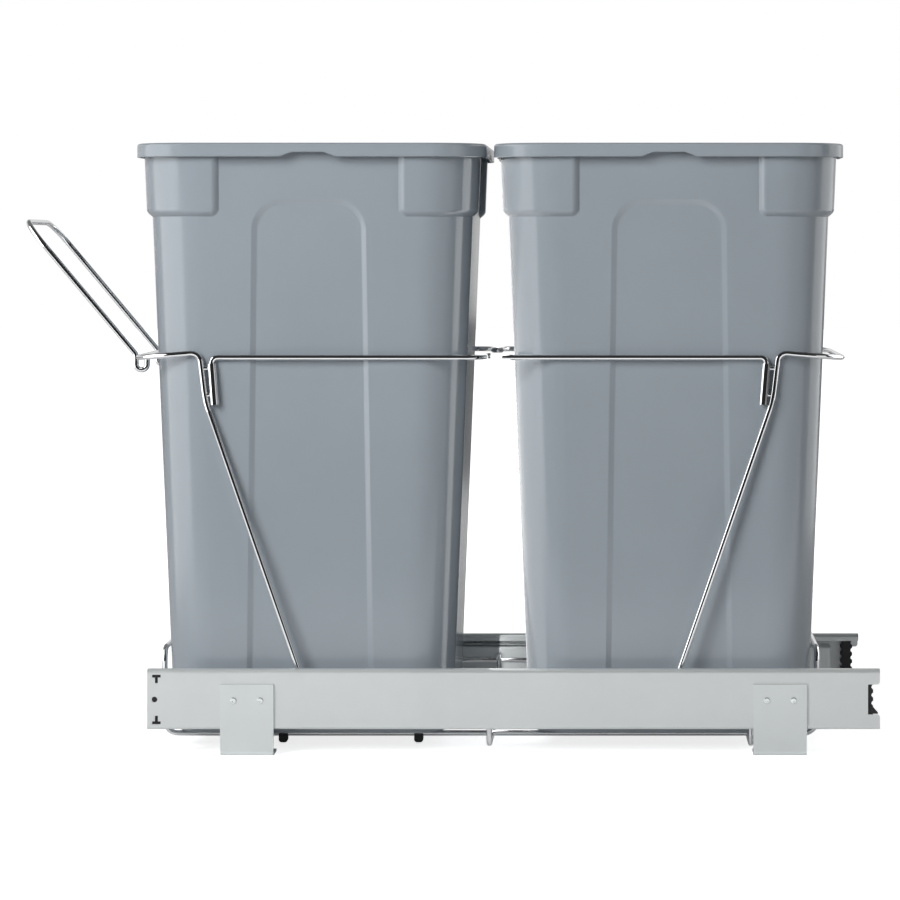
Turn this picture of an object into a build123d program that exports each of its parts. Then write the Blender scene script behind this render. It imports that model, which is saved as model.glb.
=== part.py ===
from build123d import *
import math
import os

# Pull-out waste unit: two tapered bins in a wire carriage, carried by two
# full-extension ball-bearing slides that stand on L brackets.
# Frame: X runs along the slides towards the back, Y runs across and Z is up.
# The origin is the middle of the four floor screw holes, and the brackets
# stand on Z = 0. While it is modelled, X is counted from the slides' front
# ends, and save() brings it to the origin. Millimetres.

# ---- overall driving sizes
OVERALL_WIDTH = 270.0          # across the brackets' outer faces
SLIDE_LENGTH = 550.0           # nominal 22 inch slide
SLIDE_HEIGHT = 45.0            # outer member, flange to flange
SLIDE_BOTTOM = 19.5            # height of the slides above the floor
BRACKET_T = 2.0

# ---- slide members
SHEET = 1.2                    # sheet of all three members
SLIDE_DEPTH = 12.7             # outer face of the outer member to inner face of the inner one
OUTER_FLANGE = 11.2            # how far the outer member's flanges reach in
OUTER_LIP = 5.6
BALL_PLAY = 0.05               # running clearance of a ball in its race
PLAY = 0.3                     # clearance between sheets that pass each other
CAGE_T = 0.6
OUTER_BEND = 1.4               # inner bend radii
LIP_BEND = 0.5
OUTER_BALL_R = 2.0
INNER_BALL_R = 1.6
MIDDLE_FLANGE = 9.6            # reach of the middle member's flange from the outer face
MIDDLE_LIP = 1.4
INNER_LIP = 1.0
MIDDLE_LENGTH = 527.5
INNER_START = 3.0
INNER_LENGTH = 524.0
CAGE_LENGTH = 248.0
BALLS_PER_ROW = 4
BALL_END_MARGIN = 9.0
TRAVEL = SLIDE_LENGTH          # full extension

# ---- brackets and their rivets
BRACKET_W = 40.0
BRACKET_H = 53.5
BRACKET_FOOT = 26.0
BRACKET_BEND = 1.2             # inner bend radius
BRACKET_INSET = 75.0           # bracket middles, in from the slides' ends
FOOT_HOLE_R = 2.5
FOOT_HOLE_IN = 15.0            # foot hole, in from the bracket's outer face
RIVET_PITCH = 20.0
RIVET_Z = 41.4
RIVET_R = 1.8
RIVET_HEAD_R = 2.4
RIVET_HEAD_T = 0.8
RIVET_DIMPLE_R = 1.1
RIVET_DIMPLE_DEPTH = 0.9
RIVET_FIT = 0.01

# ---- cut-outs of the outer member and the end bumper
END_HOLE_X = 5.6
END_HOLE_R = 2.1
LANCE_X = 7.0
LANCE_OFFSET = 15.4            # lanced T slots, above and below the slide's middle
LANCE_SIZE = 6.4
LANCE_BAR = 2.2
NOTCH_DEPTH = 9.0
NOTCH_HEIGHT = 22.5
NOTCH_ROUND = 2.2             # rounding of the web's two tips beside the notch
BUMPER_INSET = 14.5            # bumper, in from the slide's back end
BUMPER_LENGTH = 9.5
BUMPER_LOBES = 7
BUMPER_SCALLOP = 1.3           # depth of the scallops between the lobes
BUMPER_TOE_HEIGHT = 5.0
BUMPER_TOE_REACH = 3.5
PAD_START = 0.6                # black pad behind the front holes
PAD_LENGTH = 12.0
PAD_HALF = 19.5
INNER_HOLE_INSET = 10.5        # hole in the inner member, in from its back end
INNER_HOLE_R = 1.6
BAYONET_SLOT = 7.0

# ---- wire work
WIRE_R = 2.1
TAB_T = 1.5
TAB_W = 32.0
TAB_H = 21.0
TAB_X = (80.0, 432.0)
SCREW_R = 1.9
SCREW_HEAD_R = 3.1
SCREW_HEAD_T = 1.5
SCREW_OFFSET = 7.4             # screws above and below the tab's middle
CARRIAGE_X = 256.0             # middle of the carriage and of the pair of bins
RAIL_HALF = 230.0
RAIL_Z = 44.0
FLOOR_GAP = 3.5                # cross wires above the floor
CROSS_WIRE_SPREAD = 198.0      # front and back cross wires, from the middle one
CROSS_BEND = 8.0
CRADLE_GAP = 2.0               # cradle's upturned ends off the bins' faces
CRADLE_HALF_Y = 78.0
CRADLE_RISE = 75.0
CRADLE_BEND = 10.0
BUFFER_X = (97.5, 201.0)
BUFFER_LENGTH = 6.9
BUFFER_DROP = 4.8

# ---- end wires: strut and ring
STRUT_FOOT_X = 139.0           # from the carriage's middle
STRUT_FOOT_LENGTH = 22.0
STRUT_ELBOW_X = 213.8
STRUT_ELBOW_Z = 264.5
RING_SHOULDER_X = 218.5
RING_SHOULDER_Z = 302.0
RING_GAP = 12.4                # ring's front run off the bin's face
RING_END_Z = 297.5
RING_CORNER = 35.0
SHOULDER_BEND = 7.0
FOOT_BEND = 8.0
ELBOW_BEND = 70.0

# ---- side wires with the dip between the bins
SIDE_Z = 298.2
HOOK_X = 209.8                 # top of the hook, from the carriage's middle
HOOK_FOOT_X = 207.0
HOOK_FOOT_Z = 262.5
HOOK_BEND = 4.6
SOCKET_R = 3.3                 # tube that each hook plugs into
SOCKET_PLAY = 0.05
SOCKET_TOP_Z = 293.4
DIP_DEPTH = 42.0
DIP_HALF = 3.2                 # half the distance between the dip's two legs
DIP_CORNER = 13.0
WELD_R = 1.5
WELD_Z = (290.0, 270.0)

# ---- handle
HANDLE_HALF = 67.0
HANDLE_R = 2.1
EYE_PLAY = 0.1
EYE_DROP = 6.0                 # bottom of the eye's slot below the ring wire
HANDLE_LEAN = 50.0             # degrees above horizontal
HANDLE_LENGTH = 133.0
HANDLE_CORNER = 24.0
EYE_TAIL = 2.0

# ---- bins
RIM_GAP = 5.6                  # between the two rims
BIN_TOP = 460.0
BIN_SEAT_PLAY = 0.3
BIN_RING_GAP = 0.9             # bin off the side wires
BIN_BASE_HALF_X = 106.65
BIN_TAPER = 2.27               # degrees
BIN_WALL = 2.6
BIN_FLOOR = 3.0
BIN_CORNER_BASE = 34.0
BIN_CORNER_TOP = 40.0
BIN_BOTTOM_FILLET = 6.0
RIM_OVERHANG = 8.8
RIM_HEIGHT = 10.5
RIM_PLATE = 2.4
RIM_SKIRT = 2.2
RIM_CORNER = 44.0
CORNER_PANEL_W = 58.7
CORNER_PANEL_H = 45.0
CORNER_PANEL_PROUD = 4.2
CORNER_PANEL_BEVEL = 1.2
CORNER_PANEL_ROUND = 7.0
NOTCH_WIDE = 40.0
NOTCH_NARROW = 29.0
RIM_NOTCH_H = 3.4
ARCH_HALF_TOP = 43.0
ARCH_HALF_LOW = 48.5           # the arched panel spreads towards the base
ARCH_TOP = 418.0
ARCH_FOOT = 14.0               # above the bin's base
ARCH_CORNER = 24.0
ARCH_DEPTH = 1.3
ARCH_BEVEL = 5.0               # width of its sloping edge

# ---- derived places
BRACKET_X = (BRACKET_INSET, SLIDE_LENGTH - BRACKET_INSET)
SLIDE_Y = OVERALL_WIDTH / 2 - BRACKET_T              # outer face of the slides
SLIDE_Z = SLIDE_BOTTOM + SLIDE_HEIGHT / 2
HALF_H = SLIDE_HEIGHT / 2
OUTER_CAGE_U = SHEET + PLAY + CAGE_T                 # inner face of each part's web,
MIDDLE_U = OUTER_CAGE_U + PLAY + SHEET               # counted from the slide's outer face
INNER_CAGE_U = MIDDLE_U + PLAY + CAGE_T
OUTER_BALL_V = HALF_H - SHEET - BALL_PLAY - OUTER_BALL_R
MIDDLE_HALF = OUTER_BALL_V - OUTER_BALL_R - BALL_PLAY
INNER_BALL_V = MIDDLE_HALF - SHEET - BALL_PLAY - INNER_BALL_R
INNER_HALF = INNER_BALL_V - INNER_BALL_R - BALL_PLAY
INNER_START_U = INNER_CAGE_U + PLAY
OUTER_BALL_U = MIDDLE_FLANGE - SHEET - 2 * BALL_PLAY - OUTER_BALL_R
INNER_BALL_U = INNER_START_U + SHEET + 4 * BALL_PLAY + INNER_BALL_R
CAGE_X = (SLIDE_LENGTH - TRAVEL / 2 - CAGE_LENGTH) / 2 + TRAVEL / 4
TAB_Y = SLIDE_Y - SLIDE_DEPTH                        # inner members' inner face
RAIL_Y = TAB_Y - TAB_T - WIRE_R                      # rails, struts and ring share this plane
CROSS_Z = FLOOR_GAP + WIRE_R
CRADLE_Z = CROSS_Z + 2 * WIRE_R
BIN_BASE = CRADLE_Z + WIRE_R + BIN_SEAT_PLAY
SLOPE = math.tan(math.radians(BIN_TAPER))
RING_FACE = RAIL_Y - WIRE_R                          # inner side of the side wires
BIN_BASE_HALF_Y = RING_FACE - BIN_RING_GAP - (SIDE_Z + WIRE_R - BIN_BASE) * SLOPE
RIM_HALF_X = BIN_BASE_HALF_X + (BIN_TOP - BIN_BASE) * SLOPE + RIM_OVERHANG
BIN_PITCH = 2 * RIM_HALF_X + RIM_GAP
BIN_X = (CARRIAGE_X - BIN_PITCH / 2, CARRIAGE_X + BIN_PITCH / 2)
RING_END_X = BIN_PITCH / 2 + BIN_BASE_HALF_X + (RING_END_Z - BIN_BASE) * SLOPE + WIRE_R + RING_GAP
RING_FRONT = CARRIAGE_X - RING_END_X                 # front run of the ring: the handle's axis
CRADLE_HALF_X = BIN_PITCH / 2 + BIN_BASE_HALF_X + (CRADLE_RISE - BIN_BASE) * SLOPE + WIRE_R + CRADLE_GAP


def save(name, *solids):
    """Writes one node, moved from the slides' front ends to the part's origin."""
    placed = [Pos(-SLIDE_LENGTH / 2, 0, 0) * solid for solid in solids]
    shape = placed[0] if len(placed) == 1 else Compound(children=placed)
    export_step(shape, f"parts/{name}.step")


def wire(points, radius, r=WIRE_R, close=False):
    """A round wire along straight runs joined by tangent bends."""
    path = FilletPolyline(*points, radius=radius, close=close)
    section = Plane(origin=path @ 0, z_dir=path % 0) * Circle(r)
    return sweep(section, path=path)


def far(shape):
    """The same piece on the far side."""
    return shape.mirror(Plane.XZ)


def x_mirror(points):
    """The same route at the back end of the carriage."""
    return [(2 * CARRIAGE_X - x, y, z) for x, y, z in points]


def at_back(shape):
    """The same piece at the back end of the carriage."""
    return shape.mirror(Plane(origin=(CARRIAGE_X, 0, 0), z_dir=(1, 0, 0)))


# ---- slides -------------------------------------------------------------

def bent_sheet(points, sheet, bend):
    """Section of a bent sheet that lies to the right of a route; bend is the inner bend radius."""
    route = [Vector(*p) for p in points]
    runs = [(b - a).normalized() for a, b in zip(route, route[1:])]
    rights = [Vector(run.Y, -run.X) for run in runs]
    back = [route[0] + rights[0] * sheet]
    front_radii, back_radii = [], []
    for i, corner in enumerate(route[1:-1]):
        mitre = (rights[i] + rights[i + 1]) * (sheet / (1 + rights[i].dot(rights[i + 1])))
        back.append(corner + mitre)
        turns_right = runs[i].cross(runs[i + 1]).Z < 0
        front_radii.append(bend + sheet if turns_right else bend)
        back_radii.append(bend if turns_right else bend + sheet)
    back.append(route[-1] + rights[-1] * sheet)
    front_face = FilletPolyline(*route, radius=front_radii)
    back_face = FilletPolyline(*back, radius=back_radii)
    ends = [Line(route[0], back[0]), Line(route[-1], back[-1])]
    return make_face([*front_face.edges(), *back_face.edges(), *ends])


def along_x(face, x, y, z, length):
    """Extrudes a section along X; its own axes become Y and Z."""
    plane = Plane(origin=(x, y, z), x_dir=(0, 1, 0), z_dir=(1, 0, 0))
    return extrude(plane * face, amount=length)


def rolled(points, x, length, bend, sheet):
    """A rolled section: points (u, v) are its outer faces, u inward from the slide's outer face."""
    return along_x(bent_sheet(points, sheet, bend), x, -SLIDE_Y, SLIDE_Z, length)


def bore_y(x, z, r, y_from, y_to):
    """A round cutter along Y."""
    centre = ((x, (y_from + y_to) / 2, z))
    return Pos(*centre) * Rot(90, 0, 0) * Cylinder(r, abs(y_to - y_from))


def block(x, y, z):
    """A block between two X, two Y and two Z values."""
    size = [abs(b - a) for a, b in (x, y, z)]
    middle = [(a + b) / 2 for a, b in (x, y, z)]
    return Pos(*middle) * Box(*size)


def corner_cut(x, y, towards_x, towards_y, r):
    """What a rounding of radius r takes off a corner of a flat sheet."""
    square = Pos(x + towards_x * r / 2, y + towards_y * r / 2) * Rectangle(r, r)
    return square - Pos(x + towards_x * r, y + towards_y * r) * Circle(r)


def lanced_t(z, up):
    """T-shaped cutter through the web of the outer member."""
    half = LANCE_SIZE / 2
    web = (-SLIDE_Y - 1, -SLIDE_Y + SHEET + 0.1)
    bar_z = (z + half - LANCE_BAR, z + half) if up else (z - half, z - half + LANCE_BAR)
    bar = block((LANCE_X - half, LANCE_X + half), web, bar_z)
    stem = block((LANCE_X - LANCE_BAR / 2, LANCE_X + LANCE_BAR / 2), web, (z - half, z + half))
    return bar + stem


def outer_member():
    reach = OUTER_FLANGE
    lip = HALF_H - OUTER_LIP
    points = [(reach, -lip), (reach, -HALF_H), (0, -HALF_H), (0, HALF_H), (reach, HALF_H), (reach, lip)]
    body = rolled(points, 0, SLIDE_LENGTH, OUTER_BEND, SHEET)
    web = (-SLIDE_Y - 1, -SLIDE_Y + SHEET + 0.1)
    body -= bore_y(END_HOLE_X, SLIDE_Z, END_HOLE_R, *web)
    body -= lanced_t(SLIDE_Z + LANCE_OFFSET, True)
    body -= lanced_t(SLIDE_Z - LANCE_OFFSET, False)
    body -= end_notch(web)
    for x in BRACKET_X:
        for side in (-1, 1):
            body -= bore_y(x + side * RIVET_PITCH / 2, RIVET_Z, RIVET_R + RIVET_FIT, *web)
    return body


def end_notch(web):
    """Cutter of the notch in the web's back end, with its two tips rounded."""
    low, high = SLIDE_Z - NOTCH_HEIGHT / 2, SLIDE_Z + NOTCH_HEIGHT / 2
    notch = Pos(SLIDE_LENGTH, SLIDE_Z) * Rectangle(2 * NOTCH_DEPTH, NOTCH_HEIGHT)
    notch += corner_cut(SLIDE_LENGTH, low, -1, -1, NOTCH_ROUND)
    notch += corner_cut(SLIDE_LENGTH, high, -1, 1, NOTCH_ROUND)
    plane = Plane(origin=(0, web[1], 0), x_dir=(1, 0, 0), z_dir=(0, -1, 0))
    return extrude(plane * notch, amount=web[1] - web[0])


def front_pad():
    """Black pad on the web's inner face, behind the front holes."""
    y = (-SLIDE_Y + SHEET, -SLIDE_Y + OUTER_CAGE_U)
    body = block((PAD_START, PAD_START + PAD_LENGTH), y, (SLIDE_Z - PAD_HALF, SLIDE_Z + PAD_HALF))
    return fillet(body.edges().filter_by(Axis.Y), 2)


def middle_member():
    web = MIDDLE_U - SHEET
    lip = MIDDLE_HALF + MIDDLE_LIP
    flange = MIDDLE_HALF
    points = [(web, flange), (web, -flange)]
    lower = [(MIDDLE_FLANGE - SHEET, -flange), (MIDDLE_FLANGE - SHEET, -lip)]
    upper = [(MIDDLE_FLANGE - SHEET, lip), (MIDDLE_FLANGE - SHEET, flange)]
    route = lower[::-1] + points[::-1] + upper[::-1]
    return rolled(route, 0, MIDDLE_LENGTH, LIP_BEND, SHEET)


def inner_member():
    web = SLIDE_DEPTH
    tip = INNER_START_U + SHEET
    lip = INNER_HALF + INNER_LIP
    route = [(tip, lip), (tip, INNER_HALF), (web, INNER_HALF), (web, -INNER_HALF), (tip, -INNER_HALF), (tip, -lip)]
    body = rolled(route, INNER_START, INNER_LENGTH, LIP_BEND, SHEET)
    through = (-TAB_Y - SHEET - 0.1, -TAB_Y + 0.1)
    for x in TAB_X:
        for side in (-1, 1):
            body -= bore_y(x, SLIDE_Z + side * SCREW_OFFSET, SCREW_R + RIVET_FIT, *through)
    end = INNER_START + INNER_LENGTH
    body -= bore_y(end - INNER_HOLE_INSET, SLIDE_Z + 1, INNER_HOLE_R, *through)
    low = SLIDE_Z - INNER_HALF
    body -= block((end - BAYONET_SLOT, end + 1), through, (low + 4, low + 4 + LANCE_BAR))
    return body


def ball_places(v):
    """Ball centres of one row of a cage, as X and height from the slide's middle."""
    pitch = (CAGE_LENGTH - 2 * BALL_END_MARGIN) / (BALLS_PER_ROW - 1)
    return [(CAGE_X + BALL_END_MARGIN + i * pitch, side * v) for i in range(BALLS_PER_ROW) for side in (-1, 1)]


def cage(web_u, ball_u, ball_v, ball_r):
    """A bent strip with one row of holes above and one below, and its balls."""
    tip = ball_u + ball_r + 1.0
    half = ball_v + CAGE_T / 2
    route = [(tip, -half), (web_u - CAGE_T, -half), (web_u - CAGE_T, half), (tip, half)]
    strip = rolled(route, CAGE_X, CAGE_LENGTH, LIP_BEND, CAGE_T)
    balls = []
    for x, v in ball_places(ball_v):
        centre = Pos(x, -SLIDE_Y + ball_u, SLIDE_Z + v)
        strip -= centre * Cylinder(ball_r + BALL_PLAY, 4 * CAGE_T)
        balls.append(centre * Sphere(ball_r))
    return strip, balls


def end_bumper():
    """Scalloped rubber block in the back end of the outer member, with a toe through the notch."""
    play = 0.05
    y = (-SLIDE_Y + SHEET + play, -SLIDE_Y + OUTER_FLANGE - SHEET - play)
    half = HALF_H - SHEET - play
    start = SLIDE_LENGTH - BUMPER_INSET
    end = start + BUMPER_LENGTH
    body = block((start, end), y, (SLIDE_Z - half, SLIDE_Z + half))
    body = fillet(body.edges().filter_by(Axis.X), 1.5)
    pitch = 2 * half / BUMPER_LOBES
    scallop_r = ((pitch / 3) ** 2 + BUMPER_SCALLOP ** 2) / (2 * BUMPER_SCALLOP)
    for i in range(1, BUMPER_LOBES):
        z = SLIDE_Z - half + i * pitch
        for x in (start - scallop_r + BUMPER_SCALLOP, end + scallop_r - BUMPER_SCALLOP):
            body -= bore_y(x, z, scallop_r, y[0] - 1, y[1] + 1)
    low = SLIDE_Z - NOTCH_HEIGHT / 2 + 0.5
    tip = end + BUMPER_TOE_REACH
    toe = Polygon(
        (end - 3, low), (tip, low), (tip, low + 1), (end, low + BUMPER_TOE_HEIGHT),
        (end - 3, low + BUMPER_TOE_HEIGHT), align=None,
    )
    plane = Plane(origin=(0, y[0] + 2, 0), x_dir=(1, 0, 0), z_dir=(0, -1, 0))
    return body + extrude(plane * toe, amount=2 + play + SHEET)


def bracket(x):
    """L bracket: the plate stands outside the slide and the foot turns in under it."""
    outer = -OVERALL_WIDTH / 2
    left = x - BRACKET_W / 2
    route = [(BRACKET_FOOT, 0), (0, 0), (0, BRACKET_H)]
    body = along_x(bent_sheet(route, BRACKET_T, BRACKET_BEND), left, outer, 0, BRACKET_W)
    for side in (-1, 1):
        body -= bore_y(x + side * RIVET_PITCH / 2, RIVET_Z, RIVET_R + RIVET_FIT, outer - 1, outer + BRACKET_T + 0.5)
    body -= Pos(x, outer + FOOT_HOLE_IN, BRACKET_T / 2) * Cylinder(FOOT_HOLE_R, 3 * BRACKET_T)
    return body


def rivet(x, sign):
    """Domed rivet head outside, shank through the bracket and the slide's web."""
    outer = -OVERALL_WIDTH / 2
    shank = bore_y(x, RIVET_Z, RIVET_R, outer, -SLIDE_Y + SHEET)
    head = bore_y(x, RIVET_Z, RIVET_HEAD_R, outer - RIVET_HEAD_T, outer)
    head = fillet(head.edges().sort_by(Axis.Y)[0], RIVET_HEAD_T * 0.7)
    body = shank + head
    body -= bore_y(x, RIVET_Z, RIVET_DIMPLE_R, outer - RIVET_HEAD_T - 1, outer - RIVET_HEAD_T + RIVET_DIMPLE_DEPTH)
    return body if sign < 0 else far(body)


# ---- carriage -----------------------------------------------------------

def rail():
    length = 2 * RAIL_HALF
    return Pos(CARRIAGE_X, -RAIL_Y, RAIL_Z) * Rot(0, 90, 0) * Cylinder(WIRE_R, length)


def tab(x, sign):
    y = (-TAB_Y, -TAB_Y + TAB_T)
    half = TAB_H / 2
    body = block((x - TAB_W / 2, x + TAB_W / 2), y, (SLIDE_Z - half, SLIDE_Z + half))
    body = fillet(body.edges().filter_by(Axis.Y), 3)
    for side in (-1, 1):
        body -= bore_y(x, SLIDE_Z + side * SCREW_OFFSET, SCREW_R + RIVET_FIT, y[0] - 1, y[1] + 1)
    return body if sign < 0 else far(body)


def tab_screw(x, z, sign):
    inner = -TAB_Y + TAB_T
    shank = bore_y(x, z, SCREW_R, -TAB_Y - SHEET, inner)
    head = bore_y(x, z, SCREW_HEAD_R, inner, inner + SCREW_HEAD_T)
    head = fillet(head.edges().sort_by(Axis.Y)[-1], SCREW_HEAD_T * 0.6)
    body = shank + head
    return body if sign < 0 else far(body)


def cross_wire(x):
    """Hooks over both rails and dips under the bins."""
    leg = RAIL_Y - 2 * WIRE_R
    top = RAIL_Z + 2 * WIRE_R
    near_half = [(x, -RAIL_Y - WIRE_R / 2, top), (x, -leg, top), (x, -leg, CROSS_Z)]
    far_half = [(x, -y, z) for _, y, z in near_half[::-1]]
    bends = [2 * WIRE_R, CROSS_BEND, CROSS_BEND, 2 * WIRE_R]
    return wire(near_half + far_half, bends)


def cradle():
    """Closed loop under both bins, turned up at the front and the back to hold them."""
    x0, x1 = CARRIAGE_X - CRADLE_HALF_X, CARRIAGE_X + CRADLE_HALF_X
    y, low, top = CRADLE_HALF_Y, CRADLE_Z, CRADLE_RISE
    near = [(x0, -y, low), (x1, -y, low), (x1, -y, top)]
    back = [(x1, y, top), (x1, y, low), (x0, y, low)]
    front = [(x0, y, top), (x0, -y, top)]
    return wire(near + back + front, CRADLE_BEND, close=True)


def buffer(x, sign):
    """Rubber sleeve with a rounded foot, pushed on the cradle's long wire."""
    y, z = sign * CRADLE_HALF_Y, CRADLE_Z
    low = z - WIRE_R - BUFFER_DROP
    body = block((x - BUFFER_LENGTH / 2, x + BUFFER_LENGTH / 2), (y - 3.2, y + 3.2), (low, z))
    corners = body.edges().filter_by(Axis.Y).sort_by(Axis.Z)[0:2]
    body = fillet(corners, 2.4)
    return body - Pos(x, y, z) * Rot(0, 90, 0) * Cylinder(WIRE_R + RIVET_FIT, 2 * BUFFER_LENGTH)


def end_wire_points():
    """From the near rail up the strut, round the ring and down to the far rail."""
    m, y = CARRIAGE_X, RAIL_Y
    foot = RAIL_Z + 2 * WIRE_R
    half = [
        (m - STRUT_FOOT_X + STRUT_FOOT_LENGTH, -y, foot),
        (m - STRUT_FOOT_X, -y, foot),
        (m - STRUT_ELBOW_X, -y, STRUT_ELBOW_Z),
        (m - RING_SHOULDER_X, -y, RING_SHOULDER_Z),
        (m - RING_END_X, -y, RING_END_Z),
    ]
    return half + [(x, -y, z) for x, y, z in half[::-1]]


END_WIRE_BENDS = [FOOT_BEND, ELBOW_BEND, SHOULDER_BEND, RING_CORNER]
END_WIRE_BENDS = END_WIRE_BENDS + END_WIRE_BENDS[::-1]


def side_wire():
    """Ring wire of one side: a hook at each strut and a dip between the two bins."""
    m, y = CARRIAGE_X, RAIL_Y
    half = [
        (m - HOOK_FOOT_X, -y, HOOK_FOOT_Z),
        (m - HOOK_X, -y, SIDE_Z),
        (m - DIP_HALF, -y, SIDE_Z),
        (m - DIP_HALF, -y + DIP_DEPTH, SIDE_Z),
    ]
    bends = [HOOK_BEND, DIP_CORNER, DIP_HALF * 0.999]
    return wire(half + x_mirror(half[::-1]), bends + bends[::-1])


def socket(bore):
    """The tube that a hook of the side wire plugs into, or its solid outline where bore is 0."""
    foot = Vector(CARRIAGE_X - HOOK_FOOT_X, -RAIL_Y, HOOK_FOOT_Z)
    top = Vector(hook_x(SOCKET_TOP_Z), -RAIL_Y, SOCKET_TOP_Z)
    plane = Plane(origin=foot, z_dir=top - foot)
    ring = Circle(SOCKET_R)
    if bore:
        ring -= Circle(bore)
    return extrude(plane * ring, amount=(top - foot).length)


def weld(x_from, x_to, z, neighbours):
    """A weld bead that fills the gap between a strut and the socket beside it."""
    bead = Pos((x_from + x_to) / 2, -RAIL_Y, z) * Rot(0, 90, 0) * Cylinder(WELD_R, abs(x_to - x_from))
    for other in neighbours:
        bead -= other
    return bead.solids().sort_by(SortBy.VOLUME)[-1]


def strut_x(z):
    """Middle of the front strut's upper stretch at a height."""
    share = (z - STRUT_ELBOW_Z) / (RING_SHOULDER_Z - STRUT_ELBOW_Z)
    return CARRIAGE_X - STRUT_ELBOW_X - share * (RING_SHOULDER_X - STRUT_ELBOW_X)


def hook_x(z):
    share = (z - HOOK_FOOT_Z) / (SIDE_Z - HOOK_FOOT_Z)
    return CARRIAGE_X - HOOK_FOOT_X - share * (HOOK_X - HOOK_FOOT_X)


def handle():
    """U-shaped pull: each leg ends in an open eye round the front run of the ring."""
    offset_x = WIRE_R + EYE_PLAY + HANDLE_R
    x, z, y = RING_FRONT, RING_END_Z, HANDLE_HALF
    low = z - EYE_DROP
    lean = math.radians(HANDLE_LEAN)
    leg_x = x - offset_x
    tip = (leg_x - HANDLE_LENGTH * math.cos(lean), z + 1.5 + HANDLE_LENGTH * math.sin(lean))
    half = [
        (x + offset_x, -y, z - EYE_TAIL),
        (x + offset_x, -y, low - offset_x),
        (leg_x, -y, low - offset_x),
        (leg_x, -y, z + 1.5),
        (tip[0], -y, tip[1]),
    ]
    bends = [offset_x * 0.98, offset_x * 0.98, 2.5 * HANDLE_R, HANDLE_CORNER]
    route = half + [(px, -py, pz) for px, py, pz in half[::-1]]
    return wire(route, bends + bends[::-1], HANDLE_R)


# ---- bins ---------------------------------------------------------------

def half_at(base_half, z):
    return base_half + (z - BIN_BASE) * SLOPE


def corner_at(z):
    share = (z - BIN_BASE) / (BIN_TOP - BIN_BASE)
    return BIN_CORNER_BASE + share * (BIN_CORNER_TOP - BIN_CORNER_BASE)


def tapered(z0, z1, grow, grow_top=None):
    """Tapered body between two heights, grown or shrunk sideways."""
    faces = []
    for z, grow in ((z0, grow), (z1, grow if grow_top is None else grow_top)):
        half_x = half_at(BIN_BASE_HALF_X, z) + grow
        half_y = half_at(BIN_BASE_HALF_Y, z) + grow
        corner = corner_at(z) + grow
        faces.append(Pos(0, 0, z) * RectangleRounded(2 * half_x, 2 * half_y, corner))
    return loft(faces, ruled=True)


def rim_plate(z, grow):
    half_x = RIM_HALF_X + grow
    half_y = half_x - (BIN_BASE_HALF_X - BIN_BASE_HALF_Y)
    return Pos(0, 0, z) * RectangleRounded(2 * half_x, 2 * half_y, RIM_CORNER + grow)


def rim():
    low = BIN_TOP - RIM_HEIGHT
    top_edge = extrude(rim_plate(low, 0), amount=RIM_HEIGHT)
    top_edge = fillet(top_edge.edges().group_by(Axis.Z)[-1], 2.0)
    hollow = extrude(rim_plate(low, -RIM_SKIRT), amount=RIM_HEIGHT - RIM_PLATE)
    skirt = top_edge - hollow
    notch = Polygon(
        (-NOTCH_WIDE / 2, low - 0.1), (-NOTCH_NARROW / 2, low + RIM_NOTCH_H),
        (NOTCH_NARROW / 2, low + RIM_NOTCH_H), (NOTCH_WIDE / 2, low - 0.1), align=None,
    )
    skirt -= extrude(Plane.XZ * notch, amount=2 * RIM_HALF_X, both=True)
    return skirt


def corner_panels():
    """Raised panels that wrap the four upper corners."""
    top = BIN_TOP - RIM_HEIGHT + RIM_PLATE
    low = BIN_TOP - RIM_HEIGHT - CORNER_PANEL_H
    step = low + CORNER_PANEL_BEVEL
    band = tapered(low, step, CORNER_PANEL_PROUD - CORNER_PANEL_BEVEL, CORNER_PANEL_PROUD)
    band += tapered(step, top, CORNER_PANEL_PROUD)
    for axis_plane, half in ((Plane.XZ, BIN_BASE_HALF_X), (Plane.YZ, BIN_BASE_HALF_Y)):
        opening = half_at(half, low) + CORNER_PANEL_PROUD - CORNER_PANEL_W
        window = Pos(0, (low + top) / 2) * Rectangle(2 * opening, top - low + 20)
        for side in (-1, 1):
            window += corner_cut(side * opening, low, side, 1, CORNER_PANEL_ROUND)
        panel_edge = extrude(axis_plane * window, amount=2 * RIM_HALF_X, both=True)
        band -= panel_edge
    return band


def arch_outline(shrink):
    """Outline of the arched panel, X and height up the face; its sides spread towards the base."""
    low, top = ARCH_FOOT + shrink, ARCH_TOP - BIN_BASE - shrink
    wide, narrow = ARCH_HALF_LOW - shrink, ARCH_HALF_TOP - shrink
    outline = Polygon((-wide, low), (wide, low), (narrow, top), (-narrow, top), align=None)
    return fillet(outline.vertices().group_by(Axis.Y)[-1], ARCH_CORNER - shrink)


def arch_recess():
    """Shallow arched panel with sloping edges, pressed into the two long faces."""
    outward = Vector(0, -math.cos(math.radians(BIN_TAPER)), -math.sin(math.radians(BIN_TAPER)))
    face = Plane(origin=(0, -BIN_BASE_HALF_Y, BIN_BASE), x_dir=(1, 0, 0), z_dir=outward)
    clear = 0.2
    mouth = face.offset(clear) * arch_outline(-clear * ARCH_BEVEL / ARCH_DEPTH)
    bed = face.offset(-ARCH_DEPTH) * arch_outline(ARCH_BEVEL)
    near = loft([mouth, bed], ruled=True)
    return near, far(near)


def bin_body():
    outer = tapered(BIN_BASE, BIN_TOP - RIM_PLATE, 0)
    outer = fillet(outer.edges().group_by(Axis.Z)[0], BIN_BOTTOM_FILLET)
    for recess in arch_recess():
        outer -= recess
    body = outer + corner_panels() + rim()
    return body - tapered(BIN_BASE + BIN_FLOOR, BIN_TOP + 1, -BIN_WALL)


# ---- writing ------------------------------------------------------------

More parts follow.
